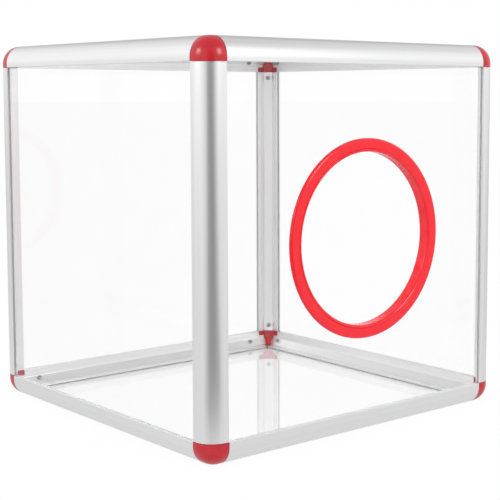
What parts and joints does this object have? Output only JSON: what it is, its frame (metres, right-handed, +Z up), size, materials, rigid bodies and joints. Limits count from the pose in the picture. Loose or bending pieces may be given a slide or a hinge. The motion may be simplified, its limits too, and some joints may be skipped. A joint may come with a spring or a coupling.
{
  "type": "tip box",
  "caption": "Clear cube tip box with rounded aluminium edge extrusions, red corner connectors and a red-ringed round hand hole in the front panel",
  "frame": {"origin": "on the ground, at the middle of the whole part's footprint, which includes the ring that stands 1.7 mm out of the front", "axes": "+Z up; the front panel with the hand hole faces -Y, so +Y points to the back; +X points to the right of a viewer who faces the front"},
  "size_m": [0.3, 0.3016, 0.3],
  "materials": {
    "aluminium": "satin anodised extrusion",
    "red_plastic": "moulded, semi-gloss red",
    "clear_acrylic": "clear polished sheet",
    "screw_steel": "plain zinc-coated steel"
  },
  "bodies": {
    "root": {"post_front_left": "aluminium", "post_front_right": "aluminium", "post_back_left": "aluminium", "post_back_right": "aluminium", "rail_bottom_front": "aluminium", "rail_bottom_back": "aluminium", "rail_bottom_left": "aluminium", "rail_bottom_right": "aluminium", "rail_top_front": "aluminium", "rail_top_back": "aluminium", "rail_top_left": "aluminium", "rail_top_right": "aluminium", "corner_bottom_front_left": "red_plastic", "corner_bottom_front_right": "red_plastic", "corner_bottom_back_left": "red_plastic", "corner_bottom_back_right": "red_plastic", "corner_top_front_left": "red_plastic", "corner_top_front_right": "red_plastic", "corner_top_back_left": "red_plastic", "corner_top_back_right": "red_plastic", "panel_front": "clear_acrylic", "panel_back": "clear_acrylic", "panel_left": "clear_acrylic", "panel_right": "clear_acrylic", "panel_bottom": "clear_acrylic", "panel_top": "clear_acrylic", "hand_ring_bezel": "red_plastic", "hand_ring_sleeve": "red_plastic", "screw_post_front_left_bottom": "screw_steel", "screw_post_front_left_top": "screw_steel", "screw_post_front_right_bottom": "screw_steel", "screw_post_front_right_top": "screw_steel", "screw_post_back_left_bottom": "screw_steel", "screw_post_back_left_top": "screw_steel", "screw_post_back_right_bottom": "screw_steel", "screw_post_back_right_top": "screw_steel", "screw_rail_bottom_front_left": "screw_steel", "screw_rail_bottom_front_right": "screw_steel", "screw_rail_bottom_back_left": "screw_steel", "screw_rail_bottom_back_right": "screw_steel", "screw_rail_bottom_left_front": "screw_steel", "screw_rail_bottom_left_back": "screw_steel", "screw_rail_bottom_right_front": "screw_steel", "screw_rail_bottom_right_back": "screw_steel", "screw_rail_top_front_left": "screw_steel", "screw_rail_top_front_right": "screw_steel", "screw_rail_top_back_left": "screw_steel", "screw_rail_top_back_right": "screw_steel", "screw_rail_top_left_front": "screw_steel", "screw_rail_top_left_back": "screw_steel", "screw_rail_top_right_front": "screw_steel", "screw_rail_top_right_back": "screw_steel"}
  },
  "joints": []
}
